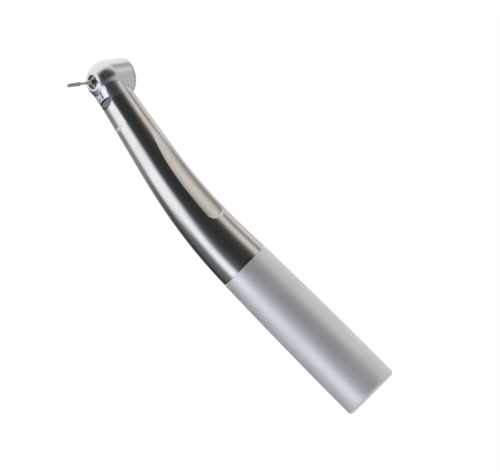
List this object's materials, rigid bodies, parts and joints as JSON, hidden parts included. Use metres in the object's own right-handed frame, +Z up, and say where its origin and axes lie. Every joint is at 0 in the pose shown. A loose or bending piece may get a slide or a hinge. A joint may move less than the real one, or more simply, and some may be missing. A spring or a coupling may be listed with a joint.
{
  "type": "dental air-turbine handpiece",
  "caption": "Bent dental handpiece with a small air-turbine head holding a diamond bur, a polished neck with side grips and a tapered rear sleeve with a coupling socket.",
  "frame": {"origin": "centre of the rear mouth, in the plane of the rear sleeve's end face", "axes": "+Z up the straight rear body towards the head; +X towards the side the bur points to; the neck bends towards -X; +Y completes a right-handed frame"},
  "size_m": [0.0299, 0.0172, 0.1243],
  "materials": {
    "satin_sleeve": "satin, fine blasted",
    "dark_neck": "polished dark coating",
    "head_chrome": "satin chrome",
    "steel": "turned",
    "spring_steel": "drawn wire",
    "bearing_steel": "ground",
    "brass": "turned",
    "rubber": "matt",
    "clip": "moulded",
    "glass_rod": "clear rod",
    "window_glass": "smoky clear",
    "wheel_metal": "machined",
    "cage_resin": "resin",
    "ball_ceramic": null,
    "bur_steel": "ground",
    "diamond_grit": "diamond grit in plating"
  },
  "bodies": {
    "handpiece": {"rear_sleeve": "satin_sleeve", "coupling_socket": "steel", "socket_lock_ring": "spring_steel", "socket_gasket": "rubber", "retaining_nut": "brass", "sleeve_adapter": "steel", "adapter_oring": "rubber", "neck_sleeve": "dark_neck", "front_tube_clip": "clip", "mid_tube_clip": "clip", "drive_air_tube": "steel", "exhaust_tube": "steel", "water_tube": "steel", "chip_air_tube": "steel", "light_guide": "glass_rod", "light_guide_ferrule": "steel", "light_window": "window_glass", "check_valve_body": "steel", "check_valve_spring": "spring_steel", "head_housing": "head_chrome", "head_cap": "head_chrome", "cap_oring": "rubber", "front_bearing_outer_race": "bearing_steel", "rear_bearing_outer_race": "bearing_steel", "front_bearing_oring": "rubber", "rear_bearing_oring": "rubber", "front_bearing_shield": "steel", "rear_bearing_shield": "steel", "preload_washer": "spring_steel", "button_retaining_ring": "spring_steel", "button_spring": "spring_steel"},
    "rotor": {"spindle": "bearing_steel", "turbine_wheel": "wheel_metal", "front_bearing_inner_race": "bearing_steel", "rear_bearing_inner_race": "bearing_steel", "chuck_collet": "steel", "spindle_end_ring": "steel"},
    "front_cage": {"front_bearing_cage": "cage_resin", "front_bearing_balls": "ball_ceramic"},
    "rear_cage": {"rear_bearing_cage": "cage_resin", "rear_bearing_balls": "ball_ceramic"},
    "plunger": {"chuck_plunger": "bearing_steel"},
    "button": {"push_button": "head_chrome"},
    "bur": {"bur_shank": "bur_steel", "bur_diamond": "diamond_grit"},
    "valve_ball": {"check_valve_ball": "bearing_steel"}
  },
  "joints": [
    {"name": "rotor_spin", "type": "hinge", "parent": "handpiece", "child": "rotor", "pos_m": [-0.01232, 0, 0.11753], "axis": [0.8829, 0, 0.4695], "continuous": true},
    {"name": "front_cage_spin", "type": "hinge", "parent": "handpiece", "child": "front_cage", "pos_m": [-0.01232, 0, 0.11753], "axis": [0.8829, 0, 0.4695], "continuous": true},
    {"name": "rear_cage_spin", "type": "hinge", "parent": "handpiece", "child": "rear_cage", "pos_m": [-0.01232, 0, 0.11753], "axis": [0.8829, 0, 0.4695], "continuous": true},
    {"name": "button_press", "type": "slide", "parent": "handpiece", "child": "button", "axis": [0.8829, 0, 0.4695], "range_m": [0, 0.0007], "stiffness_N_per_m": 2000, "deforming": ["button_spring"]},
    {"name": "chuck_release", "type": "slide", "parent": "rotor", "child": "plunger", "axis": [0.8829, 0, 0.4695], "range_m": [0, 0.00042]},
    {"name": "bur_withdraw", "type": "slide", "parent": "rotor", "child": "bur", "axis": [0.8829, 0, 0.4695], "range_m": [0, 0.013]},
    {"name": "check_valve_lift", "type": "slide", "parent": "handpiece", "child": "valve_ball", "axis": [0, 0, 1], "range_m": [0, 0.0005], "stiffness_N_per_m": 20, "deforming": ["check_valve_spring"]}
  ],
  "couplings": [
    {"joint": "front_cage_spin", "follows": "rotor_spin", "ratio": 0.3947},
    {"joint": "rear_cage_spin", "follows": "rotor_spin", "ratio": 0.3947},
    {"joint": "chuck_release", "follows": "button_press", "ratio": 0.6}
  ]
}
